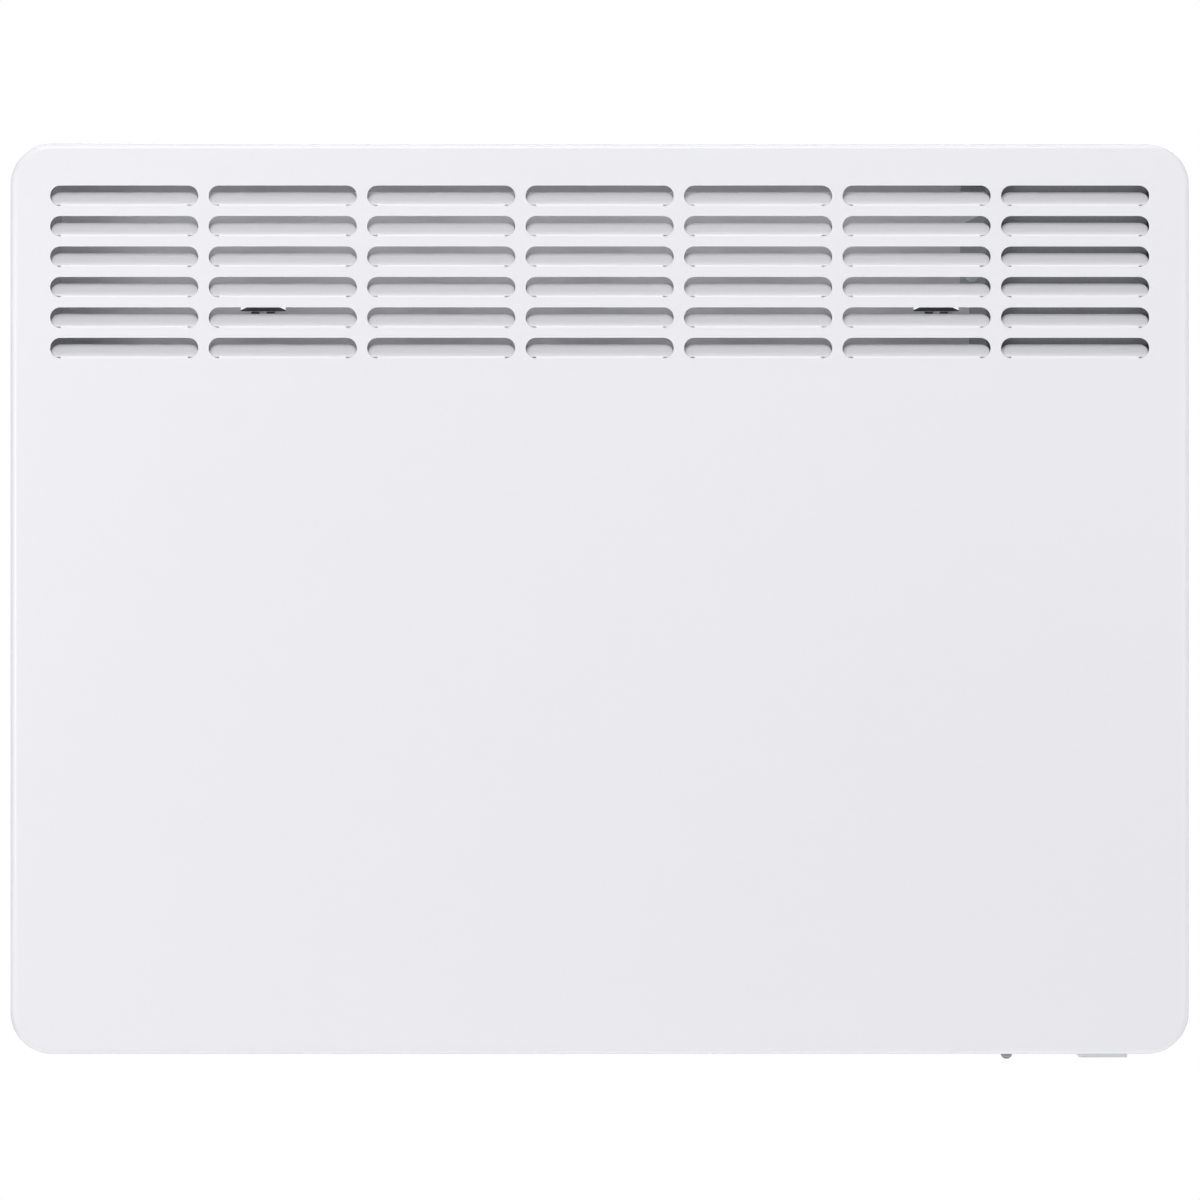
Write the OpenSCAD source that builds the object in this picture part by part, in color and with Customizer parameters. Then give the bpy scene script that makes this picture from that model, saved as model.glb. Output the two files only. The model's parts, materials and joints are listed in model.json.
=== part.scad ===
// Wall convector heater: a louvred steel cover on a steel pan, hung on a wall bracket.
// Millimetres. Z is up, the front faces -Y and the wall is the plane y = 0.
// The origin lies on the wall, in the middle of the bracket's four screw holes.
// Pieces are drawn as x, up, out, where out is the distance from the wall, and
// on_wall() stands them upright.

/* [Casing] */
// Width of the heater
body_w = 590; // [560:10:760]
// Height of the heater
body_h = 456; // [440:2:520]
// Distance from the wall to the front
body_d = 100; // [98:1:112]
// Thickness of the casing sheet
sheet_t = 0.8; // [0.7:0.1:1]
// Corner radius of the cover, seen from the front
corner_r = 21; // [16:1:28]
// Outer bend radius between the front and the sides of the cover
edge_r = 3; // [2:0.5:4]
// Depth of the cover's sides
cover_d = 52; // [50:1:56]
// Width of the lip turned in at the back of the cover
lip_w = 10; // [9:0.5:12]
// Distance from the edge of the heater to the back wall of the pan
pan_inset = 20; // [18:1:28]
// Distance from the edge of the heater to the mouth of the pan
pan_mouth_inset = 12; // [11:0.5:14]
// Air gap between the pan and the wall
wall_gap = 22; // [20:1:26]

/* [Louvres] */
// Length of a louvre slot
louvre_l = 74.1; // [60:0.5:90]
// Height of a louvre slot
louvre_h = 10.2; // [8:0.1:12]
// Sheet left between two slots of a row
louvre_bridge = 5.2; // [4:0.2:9]
// Distance between two rows
louvre_pitch = 15.24; // [13:0.1:18]
// Number of rows
louvre_rows = 6; // [2:1:8]
// Plain sheet above the top row
louvre_top = 21.3; // [18:0.1:30]
// Least plain sheet beside the rows
louvre_side = 19; // [15:1:30]
// Tilt of a flap into the heater
louvre_tilt = 44; // [40:1:60]
// Outer bend radius at the foot of a flap
louvre_r = 1.5; // [1.2:0.1:2]
// Width of the cut round a flap
louvre_cut = 0.4; // [0.2:0.1:0.8]

/* [Air inlet] */
// Width of an inlet slot
inlet_slot_w = 3; // [2:0.5:4]
// Length of an inlet slot
inlet_slot_l = 26; // [20:1:40]
// Sheet left between inlet slots
inlet_bridge = 3.6; // [3:0.2:6]

/* [Wall bracket] */
// Thickness of the bracket's steel
bracket_t = 1.5; // [1.2:0.1:2]
// Distance between the two hooks
hook_span = 343.2; // [300:0.2:360]
// Width of a hook
hook_w = 11.8; // [10:0.1:14]
// Height of the bearing edge of the hooks above the origin
hook_up = 142.8; // [130:0.2:150]
// Height of a hook's tip above its bearing edge
hook_tip = 3.5; // [3:0.1:4.5]
// Travel that lifts the heater off its hooks
lift_travel = 6.5; // [6:0.5:9]
// Height of the bracket's uprights
upright_h = 305; // [285:5:320]
// Distance between the screw holes, sideways
screw_span_x = 240; // [200:5:280]
// Distance between the screw holes, up and down
screw_span_up = 220; // [180:5:240]
// Radius of the wall screw holes
wall_hole_r = 2.75; // [2.2:0.05:3.2]

/* [Heating element] */
// Diameter of the sheathed element tube
tube_d = 8.5; // [6.5:0.5:10]
// Distance between the two runs of the tube
tube_span = 34; // [28:1:40]
// Length of the finned part
fins_l = 396; // [300:5:400]
// Height of a fin
fin_h = 76; // [60:2:84]
// Depth of a fin
fin_d = 42; // [30:1:46]
// Thickness of a fin
fin_t = 0.5; // [0.4:0.1:0.8]
// Distance between fins
fin_pitch = 9; // [7:0.5:14]
// Height of the element's middle, from the bottom of the heater
element_rise = 104; // [96:2:130]

/* [Control bay] */
// Width of the control bay, from the right side to its partition
bay_w = 98.2; // [97:0.1:110]
// Distance from the front to the bay's front plate
bay_front_gap = 14; // [12:0.5:18]
// Distance from the right side to the edge of the bay's front plate
bay_plate_inset = 20; // [20:0.5:23]
// Width of the flange that holds the partition
bay_flange_w = 13; // [12:0.5:18]

/* [Thermostat] */
// Height of the knob's axis
knob_up = 150; // [120:1:155]
// Diameter of the knob
knob_d = 31; // [26:0.5:32]
// Height of the knob
knob_h = 10; // [8:0.5:11]
// Depth of the recess that holds the knob
recess_d = 13; // [12:0.5:14]
// Length of the recess
recess_l = 66; // [50:1:74]
// Width of the recess
recess_w = 37; // [35:0.5:39]
// Diameter of the thermostat's shaft
shaft_d = 6; // [5:0.5:7]
// Diameter of the room sensor bulb
bulb_d = 5.8; // [5:0.1:7]
// Length of the room sensor bulb
bulb_l = 60; // [40:1:80]
// Length of bulb that shows below the heater
bulb_drop = 3.8; // [2:0.1:6]

/* [Mains switch] */
// Distance from the right side of the heater to the middle of the switch
switch_inset = 42.2; // [40:0.2:50]
// Width of the switch's bezel
bezel_w = 24; // [22:0.5:26]
// Length of the bezel
bezel_l = 31; // [30:0.5:33]
// Height of the bezel below the heater
bezel_t = 2.2; // [1.2:0.1:2.5]
// Width of the rocker
rocker_w = 18.4; // [16:0.2:19]
// Length of the rocker
rocker_l = 24; // [22:0.5:25]
// Tilt of the rocker at either end of its travel
rocker_tilt = 6; // [4:0.5:7]

/* [Cable inlet] */
// Radius of the bore for the supply cable
cable_r = 3.6; // [3:0.1:4.5]

/* [Hidden] */

// Smoothness of round surfaces
$fn = 64;
// Gap between a moving piece and what it turns in
run_gap = 0.05;
// Gap between a fastener and its hole
screw_gap = 0.05;
// Gap between pieces that only stand beside each other
side_gap = 0.5;
// Gap under a piece that rests on a slanting sheet, and at the end of a wire
seat_gap = 0.1;
// How far a cutting shape reaches past the sheet that it cuts
past = 1;

// Casing
half_w = body_w / 2;
half_h = body_h / 2;
cover_rear = body_d - cover_d;
side_in = half_w - sheet_t;
floor_in = half_h - sheet_t;
pan_in = wall_gap + sheet_t;
pan_slope = (pan_inset - pan_mouth_inset) / (cover_rear - wall_gap);
flange_gap = 2;

// Screws
screw_r = 1.5;
screw_head_r = 3.2;
screw_head_t = 1.8;
screw_cross_l = 3.84;
screw_cross_w = 0.8;
screw_cross_deep = 1;
screw_l = 7;
cover_screw_x = 150;
cover_screw_up = 60;
flange_screw_off = 0.3;
// Distance from the edge of the heater to the line of the cover's screws
flange_mid = (pan_mouth_inset + flange_gap) / 2 - flange_screw_off;

// Louvres
louvre_step = louvre_l + louvre_bridge;
louvre_cols = floor((body_w - 2 * louvre_side + louvre_bridge) / louvre_step);
// Cut back at each end of a flap's bend, so that it stays clear of the slot's round ends
louvre_relief = 0.1;
// How much the sheet is thinned on each face where it is drawn round the bend, and again in the flap
flap_thinning = 0.02;
// How far a flap runs on into its bend
flap_root = 0.1;
// Turn of the bend that lies inside the sheet
bend_root_turn = 4;
bend_l = louvre_l - louvre_h - 2 * louvre_relief;
bend_used = (louvre_r - sheet_t / 2) * louvre_tilt * PI / 180;

// Control bay
bay_x = half_w - bay_w;
bay_front = body_d - bay_front_gap;
bay_right = half_w - bay_plate_inset;
shield_clear = 0.6;

// Wall bracket
bracket_gap = 2;
bracket_face = wall_gap - bracket_gap;
upright_w = 22.4;
upright_foot = 10;
// How far an upright's walls run past the hook's tip, and its face past the walls
upright_over = 1.1;
upright_tongue = 2.3;
upright_chamfer = 5;
upright_top = hook_up + hook_tip + upright_over;
crossbar_w = 24;
crossbar_lip = 8;
crossbar_lip_gap = 2;
hook_play = 0.1;
hook_notch_w = 3.6;
hook_notch_root = 0.6;
lift_spare = 0.8;
hook_show = 3.2;
hook_reach = pan_in + hook_show;
window_play = 3;
window_w = hook_w + window_play;
sight_play = 0.25;
sight_w = upright_w + 2 * sight_play;
sight_h = 3.6;
sight_gap = 0.3;

// Element
element_up = -half_h + element_rise;
element_back = 4;
element_out = (pan_in + body_d) / 2 - element_back;
tube_r = tube_d / 2;
fins_bay_gap = 26;
fins_x0 = bay_x - fins_bay_gap - fins_l;
flange_t = 1.5;
support_gap = 8;
support_x = fins_x0 - support_gap;
support_t = 1.2;
support_foot = 14;
support_rim = 12;
support_screw_rise = 5;
fin_corner_r = 4;
element_flange_w = 30;
element_flange_over = 21;
element_flange_r = 5;
flange_screw_rise = 14;
flange_screw_side = 9;
tube_stub = 6;
tube_clear = 1;
insulator_x = bay_x + tube_stub;
insulator_l = 7;
insulator_collar = 2;
insulator_taper = 1.2;
pin_r = 1.4;
pin_show = 2;
spade_x = insulator_x + insulator_l + pin_show;
spade_l = 9;
// Half the width and half the thickness of a spade terminal
spade_half_w = 3.15;
spade_half_t = 0.4;

// Thermostat
knob_back = 1;
knob_out = cover_rear + cover_d / 2 - knob_back;
housing_rim = 4;
housing_end = 14;
housing_floor_t = 4.2;
housing_r = 5;
housing_w = recess_w + 2 * housing_rim;
housing_l = recess_l + 2 * housing_end;
housing_d = recess_d + housing_floor_t;
housing_x = side_in - housing_d;
recess_x = side_in - recess_d;
recess_lip = 0.5;
shaft_clear = 0.4;
knob_gap = 2;
knob_skirt_h = 7;
knob_grip_in = 1.5;
flute_r = 1.5;
flute_turn = 15;
knob_web = 2.4;
pointer_w = 1.6;
pointer_deep = 0.6;
pointer_from = 5;
knob_x = recess_x + knob_gap;
shaft_r = shaft_d / 2;
shaft_flat = 1.2;
thermostat_l = 34;
thermostat_x = housing_x - thermostat_l;
thermostat_w = 25;
thermostat_h = 36;
thermostat_back = 4.5;
thermostat_mid = knob_out - thermostat_back;
thermostat_flange_t = 1.5;
thermostat_flange = 3;
thermostat_screw_in = 7;
thermostat_screw_spare = 2;
thermostat_pitch = 12;
shaft_in = 10;
bulb_off = 7.3;
bulb_x = bay_x + sheet_t + bulb_off;
bulb_out = knob_out;
clip_rise = 40;
clip_up = -half_h + clip_rise;
clip_h = 10;
clip_wall = 2;
clip_arm = 6;
capillary_d = 1.6;
bulb_neck_r = 1.4;
bulb_neck_l = 3;

// Switch
switch_x = half_w - switch_inset;
switch_out = knob_out;
switch_h = 24;
switch_wall = 1.3;
pivot_rise = 7;
pivot_up = -half_h + pivot_rise;
pivot_r = 1.5;
rocker_drop = 1;
rocker_face = half_h + rocker_drop;
rocker_dish = 0.8;
rocker_side_gap = 0.3;
rocker_end_gap = 1.1;
switch_half_w = rocker_w / 2 + rocker_side_gap + switch_wall;
bezel_lap = 1.6;
switch_half_l = bezel_l / 2 - bezel_lap;
switch_cavity = 12;
bezel_r = 1.5;
// Gap between the switch and its hole in the cover
panel_gap = 0.1;
pivot_wall = 2;
rocker_hub_r = pivot_r + pivot_wall;
rocker_hub_in = 0.1;
rocker_shoulder = 1;
rocker_edge = 3;
tab_l = 8;
tab_top = -half_h + switch_h + tab_l;
pole_offset = 6;
tab_offset = 8;
plate_tab_gap = 8;
plate_bottom = tab_top + plate_tab_gap;

// Cable inlet and terminals
gland_inset = 60;
gland_rise = 78;
gland_x = half_w - gland_inset;
gland_up = -half_h + gland_rise;
gland_wall = 3.4;
gland_r = cable_r + gland_wall;
gland_rim = 3;
gland_out = 8;
gland_flange = 2.4;
gland_taper = 1;
nut_t = 5;
nut_wall = 4;
gland_show = 2;
gland_end = pan_in + nut_t + gland_show;
block_rise = 42;
block_up = gland_up + block_rise;
block_w = 34;
block_h = 18;
block_d = 16;
block_feet = 3;
block_face = pan_in + block_feet + block_d;
pole_pitch = 10;
pole_r = 2;
clamp_screw_r = 2.1;
clamp_screw_off = 4.5;
// Distance from the middle of a pole to a clamp screw's tip, and from the face to its head
clamp_screw_tip = 1.4;
clamp_screw_sunk = 1;
wire_in = 3;
block_foot_in = 3;
block_foot_r = 3;
block_pin_r = 1.8;
block_pin_show = 0.5;
stud_off = 24;
stud_rise = 4;
stud_x = gland_x - stud_off;
stud_up = gland_up + stud_rise;
stud_r = 2;
stud_l = 14;
stud_head_t = 1.2;
stud_head_lap = 2.2;
washer_t = 0.8;
washer_lap = 2.6;
stud_nut_t = 3.2;
stud_nut_lap = 2.04;

// Thermal cutout
cutout_rise = 40;
cutout_back = 6;
cutout_up = element_up + tube_span / 2 + cutout_rise;
cutout_out = element_out - cutout_back;
cutout_r = 8;
cutout_hole_r = 6;
cutout_ear = 9;
cutout_rim = 2;
cutout_plate_t = 1;
cutout_x = bay_x + sheet_t + cutout_plate_t;
cutout_d = 8;
cutout_dish = 1.5;
cutout_tab_x = cutout_x + cutout_d;
cutout_tab_l = 8;
cutout_tab_off = 4;

function unit(v) = v / norm(v);
function left_of(v) = [-v.y, v.x];
// A path moved to its left, with mitred bends
function moved(p, t) = [
    for (i = [0 : len(p) - 1])
        let (
            before = unit(i > 0 ? p[i] - p[i - 1] : p[1] - p[0]),
            after = unit(i < len(p) - 1 ? p[i + 1] - p[i] : p[i] - p[i - 1]),
            n = left_of(before),
            m = left_of(after)
        )
        p[i] + t * (n + m) / (1 + n * m)
];
function backwards(p) = [for (i = [len(p) - 1 : -1 : 0]) p[i]];
// Half the pan's size across its walls, at a distance from the wall, with walls thinned by t
function pan_half(half, out, t) =
    half - pan_inset + pan_slope * (out - wall_gap) - t * sqrt(1 + pan_slope * pan_slope);

// Stands what is drawn as x, up, out upright on the wall
module on_wall() rotate([90, 0, 0]) children();

// Extrudes a shape drawn as out, up between two values of x
module along_x(x0, x1) translate([x1, 0, 0]) rotate([0, -90, 0]) linear_extrude(x1 - x0) children();

// Extrudes a shape drawn as x, out between two heights
module along_up(up0, up1) translate([0, up1, 0]) rotate([90, 0, 0]) linear_extrude(up1 - up0) children();

// Extrudes a shape drawn as x, up between two distances from the wall
module along_out(out0, out1) translate([0, 0, out0]) linear_extrude(out1 - out0) children();

module block(x, up, out) translate([x[0], up[0], out[0]])
    cube([x[1] - x[0], up[1] - up[0], out[1] - out[0]]);

module round_out(x, up, out0, out1, r) translate([x, up, out0]) cylinder(h = out1 - out0, r = r);

module round_x(x0, x1, up, out, r) translate([x0, up, out]) rotate([0, 90, 0])
    cylinder(h = x1 - x0, r = r);

module round_up(x, up0, up1, out, r) translate([x, up0, out]) rotate([-90, 0, 0])
    cylinder(h = up1 - up0, r = r);

module bent(path, t) polygon(concat(path, backwards(moved(path, t))));

module rounded_rect(w, h, r) {
    square([w, h - 2 * r], center = true);
    square([w - 2 * r, h], center = true);
    for (x = [-1, 1], y = [-1, 1])
        translate([x * (w / 2 - r), y * (h / 2 - r)]) circle(r);
}

module stadium(l, h) {
    square([l - h, h], center = true);
    for (side = [-1, 1]) translate([side * (l - h) / 2, 0]) circle(h / 2);
}

// A pan head screw along +out, with its head's seat at out = 0
module screw(l) {
    translate([0, 0, -screw_head_t]) difference() {
        cylinder(h = screw_head_t, r = screw_head_r);
        for (turn = [0, 90]) rotate(turn)
            translate([-screw_cross_l / 2, -screw_cross_w / 2, -past])
                cube([screw_cross_l, screw_cross_w, past + screw_cross_deep]);
    }
    cylinder(h = l, r = screw_r);
}

module screw_hole(x, up, out0, out1) round_out(x, up, out0, out1, screw_r + screw_gap);

// Where the screws stand that join the pan's rim to the cover's lip
cover_screw_places = concat(
    [for (side = [-1, 1], end = [-1, 1]) [side * cover_screw_x, end * (half_h - flange_mid)]],
    [for (side = [-1, 1], end = [-1, 1]) [side * (half_w - flange_mid), end * cover_screw_up]]
);

// Middle of each louvre slot
louvre_places = [
    for (row = [0 : louvre_rows - 1], col = [0 : louvre_cols - 1])
        [
            (col - (louvre_cols - 1) / 2) * louvre_step,
            half_h - louvre_top - louvre_h / 2 - row * louvre_pitch
        ]
];

// The cover's bend, side and lip, as distance from the corner's centre and out
module cover_edge() {
    translate([corner_r - edge_r, body_d - edge_r]) intersection() {
        difference() {
            circle(edge_r);
            circle(edge_r - sheet_t);
        }
        square(edge_r);
    }
    translate([corner_r - sheet_t, cover_rear]) square([sheet_t, cover_d - edge_r]);
    translate([corner_r - lip_w, cover_rear]) square([lip_w, sheet_t]);
}

// One flap, lanced out of the slot centred on the origin and bent into the heater
module louvre_flap() {
    foot = -louvre_h / 2;
    translate([0, foot, body_d - louvre_r]) rotate([0, -90, 0])
        rotate_extrude(angle = louvre_tilt + bend_root_turn, start = -bend_root_turn)
            translate([louvre_r - sheet_t + flap_thinning, -bend_l / 2])
                square([sheet_t - 2 * flap_thinning, bend_l]);
    translate([0, foot + louvre_r * sin(louvre_tilt), body_d - louvre_r * (1 - cos(louvre_tilt))])
        rotate([-louvre_tilt, 0, 0])
            translate([0, -bend_used, 2 * flap_thinning - sheet_t])
                linear_extrude(sheet_t - 4 * flap_thinning) intersection() {
                    translate([0, louvre_h / 2 - louvre_cut])
                        stadium(louvre_l - 2 * louvre_cut, louvre_h - 2 * louvre_cut);
                    translate([-louvre_l, bend_used - flap_root]) square([2 * louvre_l, louvre_h]);
                }
}

module front_cover() color("#edeef2") on_wall() {
    difference() {
        union() {
            along_out(body_d - sheet_t, body_d) difference() {
                rounded_rect(body_w - 2 * edge_r, body_h - 2 * edge_r, corner_r - edge_r);
                for (p = louvre_places) translate(p) stadium(louvre_l, louvre_h);
            }
            for (side = [0, 180]) rotate(side) {
                translate([half_w - corner_r, 0, 0])
                    along_up(-half_h + corner_r, half_h - corner_r) cover_edge();
                rotate(90) translate([half_h - corner_r, 0, 0])
                    along_up(-half_w + corner_r, half_w - corner_r) cover_edge();
            }
            for (x = [0, 1], y = [0, 1]) mirror([x, 0, 0]) mirror([0, y, 0])
                translate([half_w - corner_r, half_h - corner_r, 0])
                    rotate_extrude(angle = 90) cover_edge();
        }
        for (p = cover_screw_places) screw_hole(p.x, p.y, cover_rear - past, cover_rear + past + sheet_t);
        inlet_mouth();
        round_up(bulb_x, -half_h - past, -half_h + past + sheet_t, bulb_out, bulb_d / 2 + side_gap);
        block(
            [switch_x - switch_half_w - panel_gap, switch_x + switch_half_w + panel_gap],
            [-half_h - past, -half_h + past + sheet_t],
            [switch_out - switch_half_l - panel_gap, switch_out + switch_half_l + panel_gap]
        );
        along_x(side_in - past, half_w + past) translate([knob_out, knob_up]) rotate(90)
            stadium(recess_l, recess_w);
    }
    for (p = louvre_places) translate(p) louvre_flap();
}

// Opening in the underside of the cover for the air that comes in
inlet_inset = 20;
inlet_bay_gap = 16;
inlet_rear_gap = 8;
inlet_front_gap = 5;
inlet_x0 = -half_w + corner_r + inlet_inset;
inlet_x1 = bay_x - inlet_bay_gap;
inlet_out0 = cover_rear + inlet_rear_gap;
inlet_out1 = body_d - edge_r - inlet_front_gap;
module inlet_mouth() block(
    [inlet_x0, inlet_x1], [-half_h - past, -half_h + past + sheet_t], [inlet_out0, inlet_out1]
);

// The slotted sheet over the inlet, clamped behind the cover's lip
grille_lap = 4;
grille_flange = 11;
module inlet_grille() color("#e4e5e8") on_wall() {
    slot_step_x = inlet_slot_l + inlet_bridge;
    slot_step_out = inlet_slot_w + inlet_bridge;
    cols = floor((inlet_x1 - inlet_x0 - inlet_bridge) / slot_step_x);
    rows = floor((inlet_out1 - inlet_out0 - inlet_bridge) / slot_step_out);
    mid_x = (inlet_x0 + inlet_x1) / 2;
    mid_out = (inlet_out0 + inlet_out1) / 2;
    rear = cover_rear + sheet_t;
    along_up(-floor_in, -floor_in + sheet_t) difference() {
        translate([inlet_x0 - grille_lap, rear])
            square([inlet_x1 - inlet_x0 + 2 * grille_lap, inlet_out1 + grille_lap - rear]);
        for (col = [0 : cols - 1], row = [0 : rows - 1])
            translate([
                mid_x + (col - (cols - 1) / 2) * slot_step_x,
                mid_out + (row - (rows - 1) / 2) * slot_step_out
            ]) stadium(inlet_slot_l, inlet_slot_w);
    }
    difference() {
        block(
            [inlet_x0 - grille_lap, inlet_x1 + grille_lap],
            [-floor_in, -floor_in + grille_flange], [rear, rear + sheet_t]
        );
        for (p = cover_screw_places) screw_hole(p.x, p.y, rear - past, rear + past + sheet_t);
    }
}

// The pan's outer or inner form, which its slanting walls give
module pan_form(rear, front, t) intersection() {
    along_up(-body_h, body_h) polygon([
        [-pan_half(half_w, rear, t), rear], [pan_half(half_w, rear, t), rear],
        [pan_half(half_w, front, t), front], [-pan_half(half_w, front, t), front]
    ]);
    along_x(-body_w, body_w) polygon([
        [rear, -pan_half(half_h, rear, t)], [rear, pan_half(half_h, rear, t)],
        [front, pan_half(half_h, front, t)], [front, -pan_half(half_h, front, t)]
    ]);
}

// Openings in the pan's back wall, on one side: the hook comes through the lower one, and the
// end of the upright shows in the upper one
module hook_window() {
    window_top = hook_up + hook_play;
    window_bottom = hook_up - bracket_t - lift_travel - lift_spare;
    along_out(wall_gap - past, pan_in + past) {
        translate([-window_w / 2, window_bottom]) square([window_w, window_top - window_bottom]);
        translate([-sight_w / 2, hook_up + hook_tip + sight_gap]) square([sight_w, sight_h]);
    }
}

buffer_inset = 58;
buffer_rise = 44;
buffer_x = half_w - buffer_inset;
buffer_up = -half_h + buffer_rise;
buffer_stem_r = 3;
buffer_r = 9;
buffer_round = 2;
buffer_off_wall = 0.3;
buffer_barb = 1.2;
buffer_nose = 4;
buffer_nose_in = 1;
module back_pan() color("#dfe0e3") on_wall() {
    difference() {
        union() {
            pan_form(wall_gap, cover_rear, 0);
            along_out(cover_rear - sheet_t, cover_rear)
                rounded_rect(body_w - 2 * flange_gap, body_h - 2 * flange_gap, corner_r - flange_gap);
        }
        pan_form(pan_in, cover_rear + past, sheet_t);
        for (side = [-1, 1]) translate([side * hook_span / 2, 0, 0]) hook_window();
        for (p = cover_screw_places) screw_hole(p.x, p.y, cover_rear - past - sheet_t, cover_rear + past);
        for (p = inner_screw_places) screw_hole(p.x, p.y, wall_gap - past, pan_in + past);
        for (side = [-1, 1])
            round_out(side * buffer_x, buffer_up, wall_gap - past, pan_in + past, buffer_stem_r + screw_gap);
        round_out(gland_x, gland_up, wall_gap - past, pan_in + past, gland_r + screw_gap);
        round_out(stud_x, stud_up, wall_gap - past, pan_in + past, stud_r + screw_gap);
        for (side = [-1, 1])
            round_out(
                gland_x + side * (block_w / 2 - block_foot_in), block_up, wall_gap - past, pan_in + past,
                block_pin_r + screw_gap
            );
    }
}

// Bumpers that keep the foot of the heater off the wall
module wall_buffers() color("#2c2d30") on_wall() for (side = [-1, 1]) {
    translate([side * buffer_x, buffer_up, 0]) rotate_extrude() polygon([
        [0, buffer_off_wall], [buffer_r - buffer_round, buffer_off_wall],
        [buffer_r, buffer_off_wall + buffer_round], [buffer_r, wall_gap], [buffer_stem_r, wall_gap],
        [buffer_stem_r, pan_in], [buffer_stem_r + buffer_barb, pan_in],
        [buffer_stem_r - buffer_nose_in, pan_in + buffer_nose], [0, pan_in + buffer_nose]
    ]);
}

// The bracket's flat sheet on the wall, as x and up
module bracket_base() {
    bar_l = hook_span - upright_w - upright_foot;
    difference() {
        union() {
            for (side = [-1, 1], edge = [-1, 1])
                translate([
                    side * hook_span / 2 + edge * (upright_w + upright_foot) / 2,
                    upright_top - upright_h / 2
                ]) square([upright_foot, upright_h], center = true);
            for (end = [-1, 1]) translate([0, end * screw_span_up / 2])
                square([bar_l, crossbar_w], center = true);
        }
        for (side = [-1, 1], end = [-1, 1])
            translate([side * screw_span_x / 2, end * screw_span_up / 2]) circle(wall_hole_r);
    }
}

// One hook, bent out of its upright, with a notched tip
module wall_hook() difference() {
    rear = bracket_face - bracket_t / 2;
    along_x(-hook_w / 2, hook_w / 2) polygon([
        [rear, hook_up - bracket_t], [hook_reach, hook_up - bracket_t],
        [hook_reach, hook_up + hook_tip], [hook_reach - bracket_t, hook_up + hook_tip],
        [hook_reach - bracket_t, hook_up], [rear, hook_up]
    ]);
    block(
        [-hook_notch_w / 2, hook_notch_w / 2], [hook_up + hook_notch_root, hook_up + hook_tip + past],
        [hook_reach - bracket_t - past, hook_reach + past]
    );
}

module wall_bracket() color("#34363a") on_wall() {
    lip_l = hook_span - upright_w - 2 * (upright_foot + crossbar_lip_gap);
    root = bracket_t / 2;
    along_out(0, bracket_t) bracket_base();
    for (side = [-1, 1]) translate([side * hook_span / 2, 0, 0]) {
        along_up(upright_top - upright_h, upright_top) bent([
            [-upright_w / 2, root], [-upright_w / 2, bracket_face - bracket_t],
            [upright_w / 2, bracket_face - bracket_t], [upright_w / 2, root]
        ], bracket_t);
        along_out(bracket_face - bracket_t, bracket_face) polygon([
            [-upright_w / 2, upright_top - root], [upright_w / 2, upright_top - root],
            [upright_w / 2, upright_top], [upright_w / 2 - upright_chamfer, upright_top + upright_tongue],
            [upright_chamfer - upright_w / 2, upright_top + upright_tongue], [-upright_w / 2, upright_top]
        ]);
        wall_hook();
    }
    for (end = [-1, 1], edge = [-1, 1]) {
        up = end * screw_span_up / 2 + edge * (crossbar_w - bracket_t) / 2;
        block([-lip_l / 2, lip_l / 2], [up - bracket_t / 2, up + bracket_t / 2], [root, crossbar_lip]);
    }
}

// Galvanised sheet between the hot air and the control bay
shield_edge_x = bay_x - bay_flange_w;
shield_step_down = 73;
shield_step_up = half_h - shield_step_down;
shield_step = 4.6;
shield_top_down = 31.2;
shield_top_up = half_h - shield_top_down;
shield_chamfer = 6;
shield_lap = 3;
// Room for the pan's rim behind the shield's wall, and the lip of the bay's front plate
shield_rim_gap = 2;
plate_lip = 4;
module control_bay_shield() color("#8d8f92") on_wall() {
    rear_top = pan_half(half_h, pan_in, sheet_t) - shield_clear;
    mouth_top = pan_half(half_h, cover_rear, sheet_t) - shield_clear;
    front_top = floor_in - shield_clear;
    rim_out = cover_rear + shield_rim_gap;
    difference() {
        union() {
            along_x(bay_x, bay_x + sheet_t) polygon([
                [pan_in, -rear_top], [pan_in, rear_top], [cover_rear, mouth_top],
                [rim_out, mouth_top], [rim_out, front_top], [bay_front, front_top],
                [bay_front, -front_top], [rim_out, -front_top], [rim_out, -mouth_top],
                [cover_rear, -mouth_top]
            ]);
            along_out(pan_in, pan_in + sheet_t) polygon([
                [bay_x + sheet_t, -rear_top], [bay_x + sheet_t, shield_top_up],
                [shield_edge_x, shield_top_up - shield_chamfer], [shield_edge_x, shield_step_up],
                [shield_edge_x + shield_step, shield_step_up], [shield_edge_x + shield_step, -rear_top]
            ]);
            along_up(plate_bottom, front_top) bent([
                [bay_x, bay_front], [bay_right, bay_front], [bay_right, bay_front - plate_lip]
            ], -sheet_t);
            along_x(shield_edge_x, bay_x + sheet_t) polygon([
                [pan_in + shield_lap, pan_half(half_h, pan_in + shield_lap, sheet_t + seat_gap)],
                [cover_rear, pan_half(half_h, cover_rear, sheet_t + seat_gap)],
                [cover_rear, pan_half(half_h, cover_rear, sheet_t * 2)],
                [pan_in + shield_lap, pan_half(half_h, pan_in + shield_lap, sheet_t * 2)]
            ]);
        }
        for (run = [-1, 1])
            round_x(bay_x - past, bay_x + sheet_t + past, element_up + run * tube_span / 2,
                element_out, tube_r + tube_clear);
        for (p = flange_screw_places)
            round_x(bay_x - past, bay_x + sheet_t + past, p.x, p.y, screw_r + screw_gap);
        for (p = inner_screw_places) screw_hole(p.x, p.y, pan_in - past, pan_in + sheet_t + past);
        round_x(bay_x - past, bay_x + sheet_t + past, cutout_up, cutout_out, cutout_hole_r);
    }
}

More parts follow.
